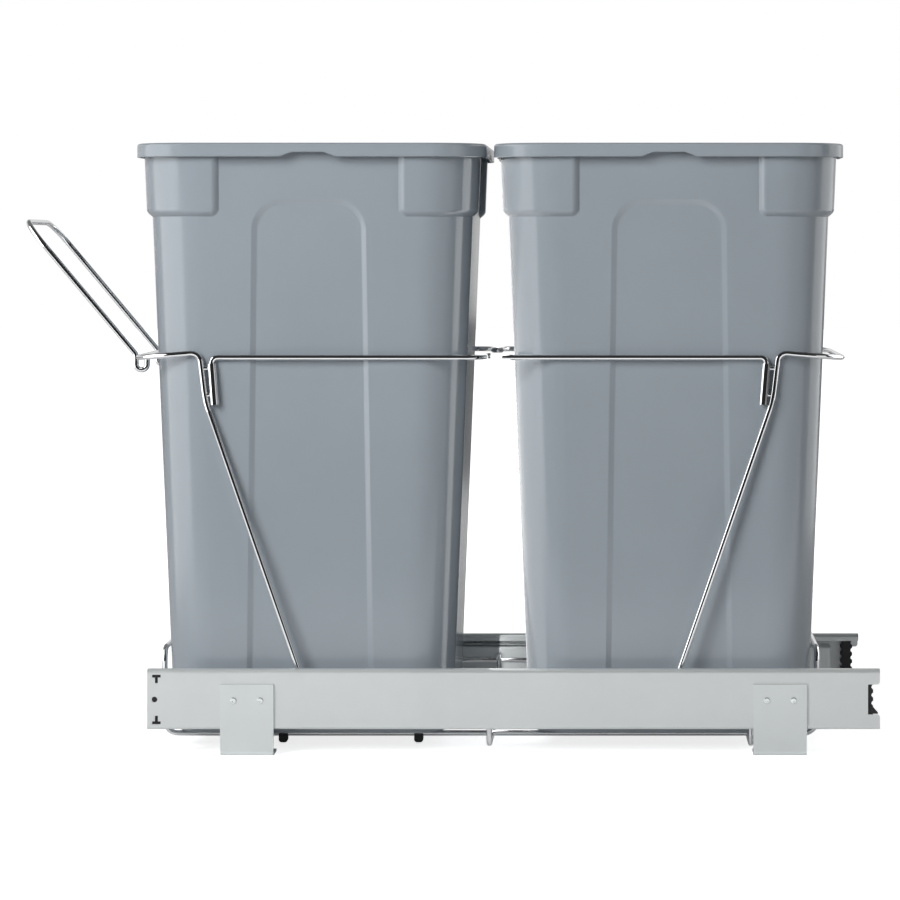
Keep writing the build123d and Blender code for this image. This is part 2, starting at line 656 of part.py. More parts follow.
def write_slides():
    outer_cage, outer_balls = cage(OUTER_CAGE_U, OUTER_BALL_U, OUTER_BALL_V, OUTER_BALL_R)
    inner_cage, inner_balls = cage(INNER_CAGE_U, INNER_BALL_U, INNER_BALL_V, INNER_BALL_R)
    pieces = {
        "outer_member": [outer_member()],
        "middle_member": [middle_member()],
        "inner_member": [inner_member()],
        "outer_ball_cage": [outer_cage],
        "outer_balls": outer_balls,
        "inner_ball_cage": [inner_cage],
        "inner_balls": inner_balls,
        "end_bumper": [end_bumper()],
        "front_pad": [front_pad()],
    }
    for name, solids in pieces.items():
        save("near_" + name, *solids)
        save("far_" + name, *[far(solid) for solid in solids])


def write_brackets():
    for place, x in zip(("front", "rear"), BRACKET_X):
        save(f"near_{place}_bracket", bracket(x))
        save(f"far_{place}_bracket", far(bracket(x)))
    rivets = [rivet(x + side * RIVET_PITCH / 2, sign) for x in BRACKET_X for side in (-1, 1) for sign in (-1, 1)]
    save("bracket_rivets", *rivets)


def write_carriage():
    save("near_side_rail", rail())
    save("far_side_rail", far(rail()))
    save("mounting_tabs", *[tab(x, sign) for x in TAB_X for sign in (-1, 1)])
    heights = (SLIDE_Z - SCREW_OFFSET, SLIDE_Z + SCREW_OFFSET)
    save("tab_screws", *[tab_screw(x, z, sign) for x in TAB_X for z in heights for sign in (-1, 1)])
    for place, step in (("front", -1), ("middle", 0), ("rear", 1)):
        save(f"{place}_cross_wire", cross_wire(CARRIAGE_X + step * CROSS_WIRE_SPREAD))
    save("bin_cradle_wire", cradle())
    save("cradle_buffers", *[buffer(x, sign) for x in BUFFER_X for sign in (-1, 1)])
    front = wire(end_wire_points(), END_WIRE_BENDS)
    rear = wire(x_mirror(end_wire_points()), END_WIRE_BENDS)
    near = side_wire()
    save("front_end_wire", front)
    save("rear_end_wire", rear)
    save("near_side_wire", near)
    save("far_side_wire", far(near))
    tube, outline = socket(WIRE_R + SOCKET_PLAY), socket(0)
    tubes = [tube, at_back(tube)]
    save("wire_sockets", *tubes, *[far(piece) for piece in tubes])
    beads = [weld(strut_x(z), hook_x(z), z, (front, outline)) for z in WELD_Z]
    beads += [at_back(bead) for bead in beads]
    save("weld_beads", *beads, *[far(bead) for bead in beads])
    save("pull_handle", handle())


def write_bins():
    body = bin_body()
    save("front_bin", Pos(BIN_X[0], 0, 0) * body)
    save("rear_bin", Pos(BIN_X[1], 0, 0) * body)


os.makedirs("parts", exist_ok=True)
write_slides()
write_brackets()
write_carriage()
write_bins()
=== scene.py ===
"""Looks of a pull-out waste unit: two moulded bins in a chromed wire carriage on ball-bearing slides.

The unit stands on the floor of a kitchen cabinet. X runs along the slides towards the back,
Y runs across, away from the camera, and Z is up. Sizes are in metres.
"""
import bmesh
import bpy
import math
from bpy.props import FloatProperty, FloatVectorProperty, PointerProperty
from bpy.types import Operator, Panel, PropertyGroup
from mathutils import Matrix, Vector


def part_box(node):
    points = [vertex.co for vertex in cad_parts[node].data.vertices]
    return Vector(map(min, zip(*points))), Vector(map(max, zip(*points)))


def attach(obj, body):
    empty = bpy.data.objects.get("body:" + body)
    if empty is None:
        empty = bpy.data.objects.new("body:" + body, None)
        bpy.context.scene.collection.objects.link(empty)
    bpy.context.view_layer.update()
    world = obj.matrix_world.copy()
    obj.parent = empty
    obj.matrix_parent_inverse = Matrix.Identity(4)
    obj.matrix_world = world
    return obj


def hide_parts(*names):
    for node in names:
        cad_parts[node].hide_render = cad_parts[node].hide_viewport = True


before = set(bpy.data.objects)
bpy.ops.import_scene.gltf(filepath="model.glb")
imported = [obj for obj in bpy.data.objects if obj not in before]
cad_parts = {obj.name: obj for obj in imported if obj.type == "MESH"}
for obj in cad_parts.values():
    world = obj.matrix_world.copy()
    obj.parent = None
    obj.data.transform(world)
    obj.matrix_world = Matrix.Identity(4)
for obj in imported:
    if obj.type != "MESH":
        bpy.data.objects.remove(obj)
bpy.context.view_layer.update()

bl_info = {
    "name": "Pull-out waste unit",
    "version": (1, 0, 0),
    "blender": (4, 5, 0),
    "location": "View3D > Sidebar > Waste unit",
    "description": "Finishes the parts of a two-bin pull-out waste unit and lights them",
    "category": "Object",
}

# ---- the photograph's frame
PHOTO = 900                  # the picture's side, in pixels
PIXEL = 0.0007503            # metres to a pixel, in the plane of the near slide's face
AXIS_X, AXIS_Y = 620, 245    # the pixel that the camera looks straight at
FRONT_X = 147                # the pixel of the slides' front ends
FLOOR_Y = 755.5              # the pixel of the near brackets' feet
CAMERA_DISTANCE = 2.802      # from the near slide's face
SENSOR = 36.0                # the sensor's width, in millimetres


# ---- shader maths
class Field:
    """A socket of a material's nodes. Sums and products of it add their Math nodes."""

    def __init__(self, tree, socket=None):
        self.tree = tree
        self.socket = socket

    def node(self, kind, settings=None, inputs=None, out=0):
        """Adds any node: its settings first, then its sockets' values or links."""
        made = self.tree.nodes.new("ShaderNode" + kind)
        for name, value in (settings or {}).items():
            setattr(made, name, value)
        for name, value in (inputs or {}).items():
            if isinstance(value, Field):
                self.tree.links.new(value.socket, made.inputs[name])
            else:
                made.inputs[name].default_value = value
        return Field(self.tree, made.outputs[out] if len(made.outputs) else None)

    def maths(self, operation, first, second):
        return self.node("Math", {"operation": operation}, {0: first, 1: second})

    def __add__(self, other):
        return self.maths("ADD", self, other)

    def __sub__(self, other):
        return self.maths("SUBTRACT", self, other)

    def __rsub__(self, other):
        return self.maths("SUBTRACT", other, self)

    def __mul__(self, other):
        return self.maths("MULTIPLY", self, other)

    __radd__ = __add__
    __rmul__ = __mul__

    def between(self, low, high):
        """0 at and under low, 1 at and over high, and straight between them."""
        return self.node("MapRange", {}, {0: self, 1: low, 2: high})

    def mix(self, first, second):
        """The colour first where this is 0, and second where it is 1."""
        return self.node("Mix", {"data_type": "RGBA"}, {0: self, 6: first, 7: second}, out=2)


def rgba(colour, times=1.0):
    return (*[channel * times for channel in colour], 1.0)


def new_finish(name):
    """An empty material and the field that its nodes are added to."""
    material = bpy.data.materials.new(name)
    material.use_nodes = True
    material.node_tree.nodes.clear()
    return material, Field(material.node_tree)


def surface(field, shader):
    field.node("OutputMaterial", {}, {"Surface": shader})


def noise(field, place, scale, detail=2.0):
    return field.node("TexNoise", {}, {"Vector": place, "Scale": scale, "Detail": detail})


def stretched(field, amounts):
    """Object coordinates drawn out along the axes, for drawn and rolled marks."""
    place = field.node("TexCoord", out="Object")
    return field.node("VectorMath", {"operation": "MULTIPLY"}, {0: place, 1: amounts})


def moulded_plastic(colour):
    """Satin injection-moulded polypropylene: a faint mottle and a fine spark-eroded grain."""
    material, field = new_finish("moulded_plastic")
    place = field.node("TexCoord", out="Object")
    mottle = noise(field, place, scale=7.0, detail=4.0).between(0.35, 0.65)
    grain = noise(field, place, scale=1500.0)
    upright = stretched(field, (60.0, 60.0, 9.0))
    scuffs = noise(field, upright, scale=3.0, detail=6.0).between(0.62, 0.75)
    normal = field.node("Bump", {}, {"Strength": 0.06, "Distance": 0.0002, "Height": grain})
    surface(field, field.node("BsdfPrincipled", {}, {
        "Base Color": mottle.mix(rgba(colour, 0.975), rgba(colour, 1.02)),
        "Roughness": 0.16 + 0.03 * mottle + 0.05 * scuffs,
        "Normal": normal,
    }))
    return material


def zinc_steel(name, colour, rough=0.3, metal=0.5, along=0):
    """Cold-rolled steel, bright zinc plated, with faint lines along its rolling direction."""
    material, field = new_finish(name)
    amounts = [500.0, 500.0, 500.0]
    amounts[along] = 5.0             # a hundred times longer this way than across
    lines = noise(field, stretched(field, amounts), scale=1.0, detail=3.0)
    place = field.node("TexCoord", out="Object")
    cloud = noise(field, place, scale=24.0, detail=4.0).between(0.3, 0.7)
    normal = field.node("Bump", {}, {"Strength": 0.05, "Distance": 0.0001, "Height": lines})
    surface(field, field.node("BsdfPrincipled", {}, {
        "Base Color": cloud.mix(rgba(colour, 0.97), rgba(colour, 1.02)),
        "Metallic": metal,
        "Roughness": rough + 0.06 * lines + 0.04 * cloud,
        "Normal": normal,
    }))
    return material


def chrome_wire(colour):
    """Bright chrome plate over drawn wire: almost a mirror, with a slight orange peel."""
    material, field = new_finish("chrome_wire")
    place = field.node("TexCoord", out="Object")
    haze = noise(field, place, scale=60.0, detail=3.0).between(0.35, 0.7)
    peel = noise(field, place, scale=700.0)
    normal = field.node("Bump", {}, {"Strength": 0.04, "Distance": 0.0001, "Height": peel})
    surface(field, field.node("BsdfPrincipled", {}, {
        "Base Color": haze.mix(rgba(colour), rgba(colour, 0.96)),
        "Metallic": 1.0,
        "Roughness": 0.04 + 0.03 * haze,
        "Normal": normal,
    }))
    return material


def black_rubber(colour):
    """Moulded black rubber, dull, with dust in its grain."""
    material, field = new_finish("black_rubber")
    place = field.node("TexCoord", out="Object")
    dust = noise(field, place, scale=220.0, detail=5.0).between(0.5, 0.75)
    grain = noise(field, place, scale=2500.0)
    normal = field.node("Bump", {}, {"Strength": 0.2, "Distance": 0.0002, "Height": grain})
    surface(field, field.node("BsdfPrincipled", {}, {
        "Base Color": dust.mix(rgba(colour), rgba(colour, 1.8)),
        "Roughness": 0.5 + 0.2 * dust,
        "Normal": normal,
    }))
    return material


# ---- pieces
PLATE_CREASE, WIRE_CREASE, BIN_CREASE = 30.0, 50.0, 35.0   # degrees past which an edge stays sharp
CAGE_SHADE = 0.8                 # of the slides' colour


def finish(piece, material, crease):
    """Gives a piece its material and smooth shading that stops at creases and keeps flat faces flat."""
    piece.data.materials.clear()
    piece.data.materials.append(material)
    for polygon in piece.data.polygons:
        polygon.use_smooth = True
    split = piece.modifiers.new("creases", "EDGE_SPLIT")
    split.split_angle = math.radians(crease)
    flats = piece.modifiers.new("flats", "WEIGHTED_NORMAL")
    flats.keep_sharp = True


def dress(nodes, material, crease=PLATE_CREASE):
    """Finishes CAD nodes, which keep their own shapes."""
    for name in nodes:
        finish(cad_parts[name], material, crease)


def both(*names):
    """The near and the far node of each name."""
    return [f"{side}_{name}" for name in names for side in ("near", "far")]


# ---- the bins
BASE_HALF = (0.10665, 0.10228)   # half the bin's length and width at its base
TAPER = math.tan(math.radians(2.27))
WALL = 0.0026
FLOOR_THICK = 0.003
CORNER_BASE, CORNER_TOP = 0.034, 0.040
BASE_ROUND, FLOOR_ROUND, MOUTH_ROUND = 0.006, 0.008, 0.001
RIM_CORNER, RIM_SKIRT, RIM_PLATE, RIM_HEIGHT, RIM_ROUND = 0.044, 0.0022, 0.0024, 0.0105, 0.002
SKIRT_BEVELS = (0.0004, 0.0005)         # inside and outside the skirt's lower edge
THUMB_NOTCH = (0.0145, 0.020, 0.0034)   # half-widths of the notch in the skirt, and its height
OVER_NOTCH = 0.0045                     # the skirt is whole from here up
PANEL_WIDTH, PANEL_HEIGHT, PANEL_PROUD, PANEL_ROUND = 0.0587, 0.045, 0.0042, 0.007
PANEL_EDGE, PANEL_FOOT = 0.0058, 0.0055   # width of the panels' upright edges, and of their lower edge
ARCH_HALF = (0.0485, 0.043)      # at its foot and at its top
ARCH_Z = (0.0262, 0.418)
ARCH_CORNER, ARCH_DEPTH, ARCH_EDGE = 0.024, 0.0022, 0.0042

# ---- the columns and rings of the bins' skin, close together where an edge passes
MIDDLE_COLUMNS = [0.006, 0.012]
# in millimetres in from the arch's outline, and from where it would be on the sides without one
ARCH_COLUMNS = [1.3 * i for i in range(19, 3, -1)] + [4.2, 3.5, 3.1, 2.7, 1.9, 1.2, 0.4, 0.0, -0.5]
PLAIN_COLUMNS = [25, 5]
BETWEEN_COLUMNS = [0.0515, 0.055, 0.059]   # between the arch and a corner panel
BEFORE_PANEL = 0.0006            # from the last column before a corner panel to the panel
LEAST_STRAIGHT = 0.0004          # from a panel's last column to the corner's round
PAST_EDGES = 1.0                 # what stands for a place on the round, past every upright edge
ARCH_FOOT_RINGS = [-0.001] + [0.00125 * i for i in range(5)]    # up from the arch's foot
ARCH_CROWN_RINGS = [-0.0325 + 0.0013 * i for i in range(26)]    # up from the arch's top
PANEL_RINGS = [-0.6, 0, 0.5, 1, 1.7, 2.4, 3.2, 4, 4.8, 5.6, 6.6, 8]   # millimetres up from the panels' foot
PLAIN_RINGS = [0.04 + 0.034 * i for i in range(11)] + [0.424, 0.436]
LEAST_RISE = 0.00005             # rings closer than this are one ring
CORNER_STEPS, PANEL_STEPS, STRAIGHT_STEPS, ROUND_STEPS, INSIDE_STEPS = 14, 8, 4, 5, 8
TINY = 1e-6


def rounded_depth(a, b, r):
    """Depth inside a corner of two edges, a and b deep inside each, whose tip is rounded to r."""
    x, y = r - a, r - b
    return r - math.hypot(max(x, 0.0), max(y, 0.0)) - min(max(x, y), 0.0)


def arch_half(z):
    """Half the arched panel's width; it narrows upward."""
    share = (z - ARCH_Z[0]) / (ARCH_Z[1] - ARCH_Z[0])
    return ARCH_HALF[0] + (ARCH_HALF[1] - ARCH_HALF[0]) * min(max(share, 0.0), 1.0)


class BinForm:
    """A bin's form, worked out from the box of its CAD node."""

    def __init__(self, box):
        low, high = box
        self.x = (low.x + high.x) / 2
        self.base, self.top = low.z, high.z
        self.rim = ((high.x - low.x) / 2, (high.y - low.y) / 2)
        self.panel_low = self.top - RIM_HEIGHT - PANEL_HEIGHT
        grown = (self.panel_low - self.base) * TAPER + PANEL_PROUD - PANEL_WIDTH
        self.opening = (BASE_HALF[0] + grown, BASE_HALF[1] + grown)

    def stations(self, side, straight, z):
        """Places along a side whose straight part reaches this far from its middle."""
        edge = self.opening[side]
        last = min(edge + PANEL_EDGE, straight - LEAST_STRAIGHT)
        inward = ARCH_COLUMNS if side == 0 else PLAIN_COLUMNS
        places = MIDDLE_COLUMNS + [arch_half(z) - mm / 1000 for mm in inward] + BETWEEN_COLUMNS
        places += [edge - BEFORE_PANEL]
        places += [edge + (last - edge) * i / PANEL_STEPS for i in range(PANEL_STEPS)]
        places += [last + (straight - last) * i / STRAIGHT_STEPS for i in range(STRAIGHT_STEPS + 1)]
        return [-place for place in reversed(places)] + [0.0] + places

    def ring(self, half, corner, z, shape=None):
        """A rounded rectangle of points; shape gives each point's way outward and its way up."""
        points = []
        for side in range(4):
            along, across = half if side % 2 == 0 else half[::-1]
            spots = [(u, -across, 0.0, -1.0, u) for u in self.stations(side % 2, along - corner, z)]
            for step in range(1, CORNER_STEPS):
                angle = math.pi / 2 * step / CORNER_STEPS
                out_x, out_y = math.sin(angle), -math.cos(angle)
                spots.append((along - corner + corner * out_x, corner - across + corner * out_y,
                              out_x, out_y, PAST_EDGES))
            cosine, sine = ((1, 0), (0, 1), (-1, 0), (0, -1))[side]
            for x, y, out_x, out_y, u in spots:
                out, up = shape(side % 2, abs(u), z) if shape else (0.0, 0.0)
                x, y = x + out * out_x, y + out * out_y
                points.append((self.x + x * cosine - y * sine, x * sine + y * cosine, z + up))
        return points

    def wall(self, z, grow, shape=None):
        """A ring of the tapered wall, grown outward."""
        rise = z - self.base
        half = [side + rise * TAPER + grow for side in BASE_HALF]
        corner = CORNER_BASE + (CORNER_TOP - CORNER_BASE) * rise / (self.top - self.base) + grow
        return self.ring(half, corner, z, shape)

    def lip(self, z, grow, shape=None):
        """A ring of the rim, grown outward."""
        return self.ring([side + grow for side in self.rim], RIM_CORNER + grow, z, shape)

    def relief(self, side, u, z):
        """How far the corner panels stand out and the arched panel lies in."""
        across, above = u - self.opening[side], z - self.panel_low
        foot_share = max(across, 0.0) / (max(across, 0.0) + max(above, TINY))
        edge = PANEL_EDGE + (PANEL_FOOT - PANEL_EDGE) * foot_share
        t = min(max(rounded_depth(across, above, PANEL_ROUND) / edge, 0.0), 1.0)
        out = PANEL_PROUD * math.sin(math.pi / 2 * t)
        if side == 0:
            depth = min(rounded_depth(arch_half(z) - u, ARCH_Z[1] - z, ARCH_CORNER), z - ARCH_Z[0])
            out -= ARCH_DEPTH * min(max(depth / ARCH_EDGE, 0.0), 1.0)
        return out, 0.0

    def thumb_notch(self, side, u, z):
        """How far the notch in the middle of each side lifts the skirt's lower edge."""
        narrow, wide, height = THUMB_NOTCH
        return 0.0, height * min(max((wide - u) / (wide - narrow), 0.0), 1.0)

    def heights(self):
        """Heights of the wall's rings, from the rounded foot to the rim's plate."""
        heights = [self.base + BASE_ROUND, self.top - RIM_PLATE] + PLAIN_RINGS
        heights += [ARCH_Z[0] + rise for rise in ARCH_FOOT_RINGS]
        heights += [ARCH_Z[1] + rise for rise in ARCH_CROWN_RINGS]
        heights += [self.panel_low + mm / 1000 for mm in PANEL_RINGS]
        heights.sort()
        return [z for below, z in zip([0.0] + heights, heights) if z - below > LEAST_RISE]

    def rings(self):
        """Every ring, from the middle of the underside over the rim to the floor inside."""
        quarter = [math.pi / 2 * i / ROUND_STEPS for i in range(ROUND_STEPS + 1)]
        rings = [self.wall(self.base + BASE_ROUND * (1 - math.cos(t)), BASE_ROUND * (math.sin(t) - 1))
                 for t in quarter[:-1]]
        rings += [self.wall(z, 0.0, self.relief) for z in self.heights()]
        skirt = self.top - RIM_HEIGHT
        inside, outside = SKIRT_BEVELS
        rings += [self.lip(self.top - RIM_PLATE, -RIM_SKIRT)]
        rings += [self.lip(z, grow, self.thumb_notch) for z, grow in (
            (skirt + inside, -RIM_SKIRT), (skirt, inside - RIM_SKIRT),
            (skirt, -outside), (skirt + outside, 0.0))]
        rings += [self.lip(skirt + OVER_NOTCH, 0.0)]
        rings += [self.lip(self.top - RIM_ROUND * (1 - math.sin(t)), RIM_ROUND * (math.cos(t) - 1))
                  for t in quarter]
        rings += [self.wall(self.top - MOUTH_ROUND * (1 - math.cos(t)),
                            MOUTH_ROUND * (1 - math.sin(t)) - WALL) for t in quarter]
        floor = self.base + FLOOR_THICK
        rings += [self.wall(floor + (self.top - floor) * i / INSIDE_STEPS, -WALL)
                  for i in range(INSIDE_STEPS - 1, 0, -1)]
        rings += [self.wall(floor + FLOOR_ROUND * (1 - math.sin(t)),
                            -WALL - FLOOR_ROUND * (1 - math.cos(t))) for t in quarter]
        return rings


def bin_piece(name, material):
    """A bin as one closed skin over its rings, which stands for its CAD node."""
    form = BinForm(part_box(name))
    work = bmesh.new()
    loops = [[work.verts.new(point) for point in ring] for ring in form.rings()]
    for lower, upper in zip(loops, loops[1:]):
        for i in range(len(lower)):
            j = (i + 1) % len(lower)
            work.faces.new((lower[i], lower[j], upper[j], upper[i]))
    work.faces.new(loops[0][::-1])
    work.faces.new(loops[-1])
    bmesh.ops.recalc_face_normals(work, faces=work.faces)
    mesh = bpy.data.meshes.new(name + "_shell")
    work.to_mesh(mesh)
    work.free()
    piece = bpy.data.objects.new(name + "_shell", mesh)
    bpy.context.scene.collection.objects.link(piece)
    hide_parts(name)
    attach(piece, name)
    finish(piece, material, BIN_CREASE)


# ---- settings
class WASTEUNIT_PG_finishes(PropertyGroup):
    plastic: FloatVectorProperty(
        name="Bins", description="Colour of the moulded bins",
        default=(0.295, 0.332, 0.366), subtype="COLOR", min=0.0, max=1.0)
    slide: FloatVectorProperty(
        name="Slides", description="Colour of the zinc plate on the slides",
        default=(0.77, 0.80, 0.80), subtype="COLOR", min=0.0, max=1.0)
    bracket: FloatVectorProperty(
        name="Brackets", description="Colour of the zinc plate on the floor brackets",
        default=(0.79, 0.83, 0.83), subtype="COLOR", min=0.0, max=1.0)
    chrome: FloatVectorProperty(
        name="Wire", description="Colour of the chrome plate on the wires",
        default=(0.86, 0.87, 0.88), subtype="COLOR", min=0.0, max=1.0)
    # This colour also goes on the front pads, which are painted shade inside the slides
    rubber: FloatVectorProperty(
        name="Rubber", description="Colour of the bumpers and the buffers",
        default=(0.018, 0.018, 0.02), subtype="COLOR", min=0.0, max=1.0)


class WASTEUNIT_PG_studio(PropertyGroup):
    sky: FloatProperty(
        name="Sky", description="How bright the white room lights the unit", default=0.08, min=0.0)
    key_lamp: FloatProperty(
        name="Key lamp", description="Power of the lamp on the upper left",
        default=49.5, min=0.0, unit="POWER")
    fill_lamp: FloatProperty(
        name="Fill lamp", description="Power of the weak lamp on the right",
        default=8.5, min=0.0, unit="POWER")
    back_lamp: FloatProperty(
        name="Back lamp", description="Power of the wide lamp behind the unit",
        default=17.0, min=0.0, unit="POWER")
    flag: FloatProperty(
        name="Flags", description="Brightness of the dark cards that the gloss mirrors",
        default=0.02, min=0.0)
    ceiling: FloatProperty(
        name="Ceiling", description="Brightness of the dark card overhead",
        default=0.04, min=0.0)
    softbox: FloatProperty(
        name="Softbox", description="Brightness of the left softbox and of the bright strips",
        default=2.5, min=0.0)
    sweep: FloatProperty(
        name="Sweep", description="Brightness of the white floor in front, as the metal mirrors it",
        default=1.3, min=0.0)
    backdrop: FloatProperty(
        name="Backdrop", description="Brightness of the backdrop behind, on the right",
        default=2.0, min=0.0)
    floor: FloatVectorProperty(
        name="Floor", description="Colour of the floor", default=(0.9, 0.9, 0.9),
        subtype="COLOR", min=0.0, max=1.0)


# ---- operators
class WASTEUNIT_OT_bins(Operator):
    """Finishes the two bins"""
    bl_idname = "wasteunit.bins"
    bl_label = "Bins"

    def execute(self, context):
        plastic = moulded_plastic(context.scene.waste_finishes.plastic)
        for name in ("front_bin", "rear_bin"):
            bin_piece(name, plastic)
        return {"FINISHED"}


class WASTEUNIT_OT_wirework(Operator):
    """Finishes the wire carriage and the handle"""
    bl_idname = "wasteunit.wirework"
    bl_label = "Wirework"

    def execute(self, context):
        names = ["front_cross_wire", "middle_cross_wire", "rear_cross_wire", "bin_cradle_wire",
                 "front_end_wire", "rear_end_wire", "wire_sockets", "weld_beads", "pull_handle"]
        chrome = chrome_wire(context.scene.waste_finishes.chrome)
        dress(names + both("side_rail", "side_wire"), chrome, WIRE_CREASE)
        return {"FINISHED"}


class WASTEUNIT_OT_slides(Operator):
    """Finishes the slides' members, cages and balls"""
    bl_idname = "wasteunit.slides"
    bl_label = "Slides"

    def execute(self, context):
        colour = context.scene.waste_finishes.slide
        cage_colour = [CAGE_SHADE * channel for channel in colour]
        dress(both("outer_member", "middle_member", "inner_member"), zinc_steel("slide_steel", colour))
        dress(both("outer_ball_cage", "inner_ball_cage"), zinc_steel("cage_steel", cage_colour))
        dress(both("outer_balls", "inner_balls"),
              zinc_steel("ball_steel", colour, rough=0.08, metal=1.0))
        return {"FINISHED"}


class WASTEUNIT_OT_brackets(Operator):
    """Finishes the floor brackets, the mounting tabs and their fasteners"""
    bl_idname = "wasteunit.brackets"
    bl_label = "Brackets"

    def execute(self, context):
        colour = context.scene.waste_finishes.bracket
        dress(both("front_bracket", "rear_bracket") + ["mounting_tabs"],
              zinc_steel("bracket_steel", colour, along=2))
        dress(["bracket_rivets", "tab_screws"],
              zinc_steel("fastener_steel", colour, rough=0.14, metal=1.0))
        return {"FINISHED"}


class WASTEUNIT_OT_rubber(Operator):
    """Finishes the end bumpers, the cradle's buffers and the black front pads; the pads are painted shade,
    black sheets that stand in for the unlit inside of the slides behind their front holes
    """
    bl_idname = "wasteunit.rubber"
    bl_label = "Rubber"

    def execute(self, context):
        rubber = black_rubber(context.scene.waste_finishes.rubber)
        # The front pads are painted shade: black rubber behind the slides' front holes, in place of the
        # dark, unlit inside of the slides
        dress(both("end_bumper", "front_pad") + ["cradle_buffers"], rubber)
        return {"FINISHED"}


# ---- the stage
FLOOR_HALF = 14.0
FLOOR_LIFT, FAR_LIFT = 0.8, 0.35         # how white the floor is seen, and what is added far off
FLOOR_MIRRORED = 0.1                     # the share of that lift that mirror rays see
FAR_FROM, FAR_TO = 0.5, 1.5              # distances from the unit between which that comes in
ROOM_MIRRORED, OVERHEAD_LOSS = 0.7, 0.6  # the share of the room that mirror rays see
LOW_RAY, HIGH_RAY = 0.2, 0.5             # the rise of the rays where that share falls off
LAMP_AIM = (0, 0, 0.25)
LAMPS = {                                # the place of each, then its width and its height
    "key_lamp": ((-1.31, -1.85, 1.26), (1.05, 1.3)),
    "fill_lamp": ((2.0, -1.26, 0.87), (1.2, 1.2)),
    "back_lamp": ((0.5, 2.4, 1.5), (2.0, 1.4)),
}
CARD_FRONT, CARD_HALF, CARD_HIGH = -1.7, 1.9, 1.1
CEILING_HALF, CEILING_BACK = 2.4, 0.2
SWEEP_FRONT, SWEEP_BACK = -0.7, -0.34
ON_FLOOR = 0.002                         # how far the level cards lie above the floor
LEFT_X, RIGHT_X, SIDE_HIGH = -0.98, 1.3, 1.6
SOFTBOX_Y, RIGHT_CARD_Y, BACKDROP_Y = (-0.84, 0.15), (-0.41, -0.18), (0.0, 1.4)
STRIP_HIGH = 0.448                       # the strips between the bins end under the rims
REAR_STRIP_Y, FRONT_STRIP_Y = (-0.118, 0.12), (0.06, -0.124)
REAR_STRIP_SHARE = 0.9                   # of the softbox's brightness
EDGE_STRIP_IN, EDGE_STRIP_WIDE = 0.0118, 0.014   # how far inside the bin's side it stands
STRIP_GAP = 0.0005                       # keeps two strips apart


def photo_camera():
    """The camera, square to the slides, at the photograph's place."""
    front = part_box("near_outer_member")[0]
    data = bpy.data.cameras.new("camera")
    camera = bpy.data.objects.new("camera", data)
    bpy.context.scene.collection.objects.link(camera)
    camera.location = (front.x + (AXIS_X - FRONT_X) * PIXEL, front.y - CAMERA_DISTANCE,
                       (FLOOR_Y - AXIS_Y) * PIXEL)
    camera.rotation_euler = (math.radians(90), 0, 0)
    data.sensor_width = SENSOR
    data.lens = SENSOR * CAMERA_DISTANCE / (PHOTO * PIXEL)
    data.shift_x = 0.5 - AXIS_X / PHOTO
    data.shift_y = AXIS_Y / PHOTO - 0.5
    bpy.context.scene.camera = camera


def card(name, corners, material):
    """A flat sheet of the stage, from its four corners."""
    mesh = bpy.data.meshes.new(name)
    mesh.from_pydata(corners, [], [(0, 1, 2, 3)])
    mesh.materials.append(material)
    made = bpy.data.objects.new(name, mesh)
    bpy.context.scene.collection.objects.link(made)
    return made


def background_rays(field, mirrored):
    """1 for the rays that show the background, mirrored for mirror rays, and 0 for all others."""
    seen, glossy, through = [field.node("LightPath", out=name)
                             for name in ("Is Camera Ray", "Is Glossy Ray", "Is Transmission Ray")]
    return field.maths("MAXIMUM", field.maths("MAXIMUM", seen, through), mirrored * glossy)


def studio_floor(colour):
    """A white floor that takes the shadow; where it is seen it is lifted to white, more so far off."""
    material, field = new_finish("studio_floor")
    place = field.node("TexCoord", out="Object")
    distance = field.node("VectorMath", {"operation": "LENGTH"}, {0: place}, out="Value")
    away = distance.between(FAR_FROM, FAR_TO)
    paint = field.node("BsdfDiffuse", {}, {"Color": rgba(colour)})
    strength = background_rays(field, FLOOR_MIRRORED) * (FLOOR_LIFT + FAR_LIFT * away)
    lift = field.node("Emission", {}, {"Color": rgba((1, 1, 1)), "Strength": strength})
    surface(field, field.node("AddShader", {}, {0: paint, 1: lift}))
    return material


def lamp(name, place, size, power):
    """A soft rectangular lamp that faces the unit and that neither the camera nor a mirror sees."""
    data = bpy.data.lights.new(name, "AREA")
    data.shape = "RECTANGLE"
    data.size, data.size_y = size
    data.energy = power
    made = bpy.data.objects.new(name, data)
    bpy.context.scene.collection.objects.link(made)
    made.location = place
    made.rotation_euler = (Vector(LAMP_AIM) - Vector(place)).to_track_quat("-Z", "Y").to_euler()
    made.visible_camera = False
    made.visible_glossy = False


def reflected_card(name, corners, radiance, one_sided=False):
    """A card or softbox that only mirror rays see, as photographers hang them round metal."""
    material, field = new_finish(name)
    glow = field.node("Emission", {}, {"Color": rgba((1, 1, 1)), "Strength": radiance})
    if one_sided:
        back = field.node("NewGeometry", out="Backfacing")
        glow = field.node("MixShader", {}, {"Fac": back, 1: glow, 2: field.node("BsdfTransparent")})
    surface(field, glow)
    made = card(name, corners, material)
    made.visible_camera = False
    made.visible_diffuse = False
    made.visible_shadow = False
    made.visible_transmission = False


def wall_card(name, x, from_to, high, radiance, one_sided=False):
    """A card across X, from one Y to another. A one-sided card faces +X if the second is larger."""
    near, far = from_to
    corners = [(x, near, 0), (x, far, 0), (x, far, high), (x, near, high)]
    reflected_card(name, corners, radiance, one_sided)


def level_card(name, half, near, far, z, radiance):
    """A card that lies level, from one Y to another."""
    reflected_card(name, [(-half, near, z), (half, near, z), (half, far, z), (-half, far, z)], radiance)


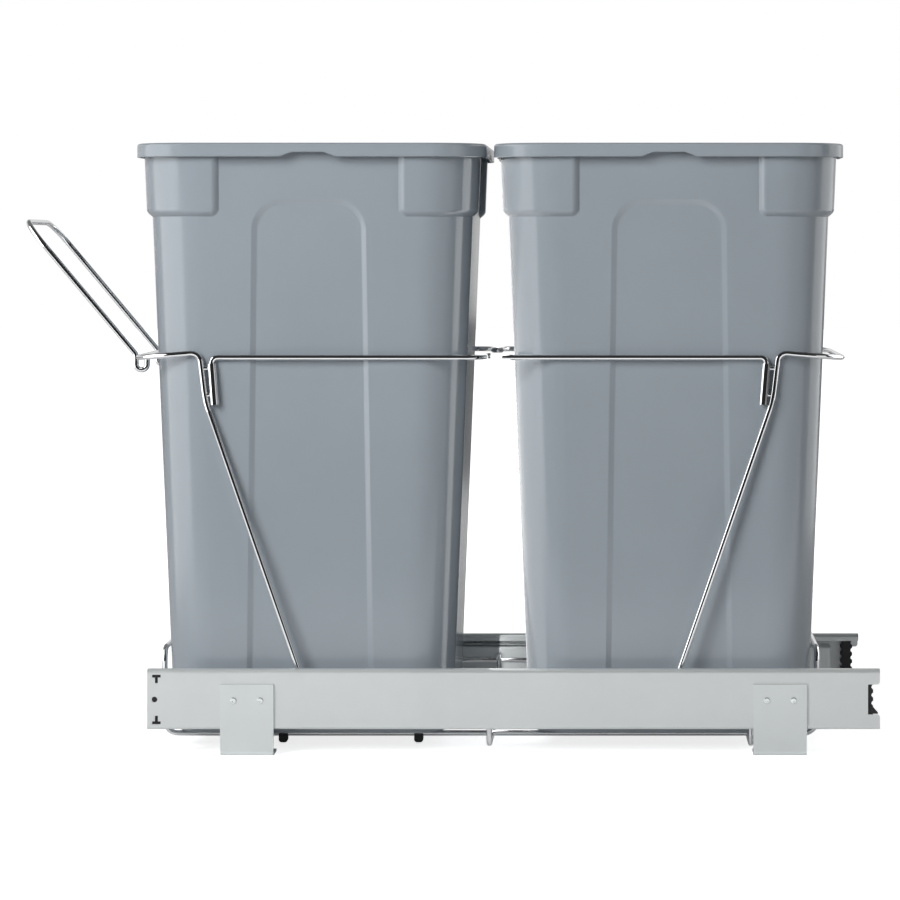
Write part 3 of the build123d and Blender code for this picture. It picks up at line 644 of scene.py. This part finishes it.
def cards_around(studio):
    """What the wires, the slides and the bins' corners mirror in place of a bare room."""
    corners = [(-CARD_HALF, 0), (CARD_HALF, 0), (CARD_HALF, CARD_HIGH), (-CARD_HALF, CARD_HIGH)]
    reflected_card("card_camera", [(x, CARD_FRONT, z) for x, z in corners], studio.flag)
    level_card("card_ceiling", CEILING_HALF, CARD_FRONT, CEILING_BACK, CARD_HIGH, studio.ceiling)
    level_card("card_floor", CARD_HALF, CARD_FRONT, SWEEP_FRONT, ON_FLOOR, studio.flag)
    level_card("sweep_floor", CARD_HALF, SWEEP_FRONT, SWEEP_BACK, ON_FLOOR, studio.sweep)
    wall_card("softbox_left", LEFT_X, SOFTBOX_Y, SIDE_HIGH, studio.softbox)
    wall_card("card_right", RIGHT_X, RIGHT_CARD_Y, SIDE_HIGH, studio.flag)
    wall_card("backdrop_right", RIGHT_X, BACKDROP_Y, SIDE_HIGH, studio.backdrop)


def strips_between_bins(studio):
    """Strips that give the bins the same reflections at their corners, as the photograph shows."""
    middle = (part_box("front_bin")[1].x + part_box("rear_bin")[0].x) / 2
    wall_card("strip_rear_bin", middle, REAR_STRIP_Y, STRIP_HIGH,
              REAR_STRIP_SHARE * studio.softbox, one_sided=True)
    wall_card("strip_front_bin", middle, FRONT_STRIP_Y, STRIP_HIGH, studio.flag, one_sided=True)
    x, lean = middle - STRIP_GAP, STRIP_HIGH * TAPER
    outer = EDGE_STRIP_IN - BASE_HALF[1]
    inner = outer + EDGE_STRIP_WIDE
    corners = [(x, inner, 0), (x, outer, 0),
               (x, outer - lean, STRIP_HIGH), (x, inner - lean, STRIP_HIGH)]
    reflected_card("edge_front_bin", corners, studio.softbox, one_sided=True)


def white_room(sky):
    """A world that is white where it is seen, dimmer in mirrors, and dim where it lights the unit."""
    world = bpy.data.worlds.new("room")
    world.use_nodes = True
    world.node_tree.nodes.clear()
    field = Field(world.node_tree)
    ray = field.node("TexCoord", out="Generated")
    overhead = field.node("SeparateXYZ", {}, {0: ray}, out="Z").between(LOW_RAY, HIGH_RAY)
    strength = sky + (1.0 - sky) * background_rays(field, ROOM_MIRRORED - OVERHEAD_LOSS * overhead)
    glow = field.node("Background", {}, {"Color": rgba((1, 1, 1)), "Strength": strength})
    field.node("OutputWorld", {}, {"Surface": glow})
    return world


class WASTEUNIT_OT_stage(Operator):
    """Sets the floor, the lamps, the cards, the room and the camera"""
    bl_idname = "wasteunit.stage"
    bl_label = "Stage"

    def execute(self, context):
        studio = context.scene.waste_studio
        half = FLOOR_HALF
        card("floor", [(-half, -half, 0), (half, -half, 0), (half, half, 0), (-half, half, 0)],
             studio_floor(studio.floor))
        for name, (place, size) in LAMPS.items():
            lamp(name, place, size, getattr(studio, name))
        cards_around(studio)
        strips_between_bins(studio)
        context.scene.world = white_room(studio.sky)
        context.scene.view_settings.view_transform = "Standard"
        photo_camera()
        return {"FINISHED"}


STEPS = (WASTEUNIT_OT_bins, WASTEUNIT_OT_wirework, WASTEUNIT_OT_slides, WASTEUNIT_OT_brackets,
         WASTEUNIT_OT_rubber, WASTEUNIT_OT_stage)


class WASTEUNIT_PT_panel(Panel):
    bl_idname = "WASTEUNIT_PT_panel"
    bl_label = "Waste unit"
    bl_space_type = "VIEW_3D"
    bl_region_type = "UI"
    bl_category = "Waste unit"

    def draw(self, context):
        for group in (context.scene.waste_finishes, context.scene.waste_studio):
            column = self.layout.column()
            for name in group.__annotations__:
                column.prop(group, name)
        for step in STEPS:
            self.layout.operator(step.bl_idname)


CLASSES = (WASTEUNIT_PG_finishes, WASTEUNIT_PG_studio, *STEPS, WASTEUNIT_PT_panel)


def register():
    for cls in CLASSES:
        bpy.utils.register_class(cls)
    bpy.types.Scene.waste_finishes = PointerProperty(type=WASTEUNIT_PG_finishes)
    bpy.types.Scene.waste_studio = PointerProperty(type=WASTEUNIT_PG_studio)


def unregister():
    del bpy.types.Scene.waste_studio
    del bpy.types.Scene.waste_finishes
    for cls in reversed(CLASSES):
        bpy.utils.unregister_class(cls)


def main():
    register()
    bpy.ops.wasteunit.bins()
    bpy.ops.wasteunit.wirework()
    bpy.ops.wasteunit.slides()
    bpy.ops.wasteunit.brackets()
    bpy.ops.wasteunit.rubber()
    bpy.ops.wasteunit.stage()


if __name__ == "__main__":
    main()
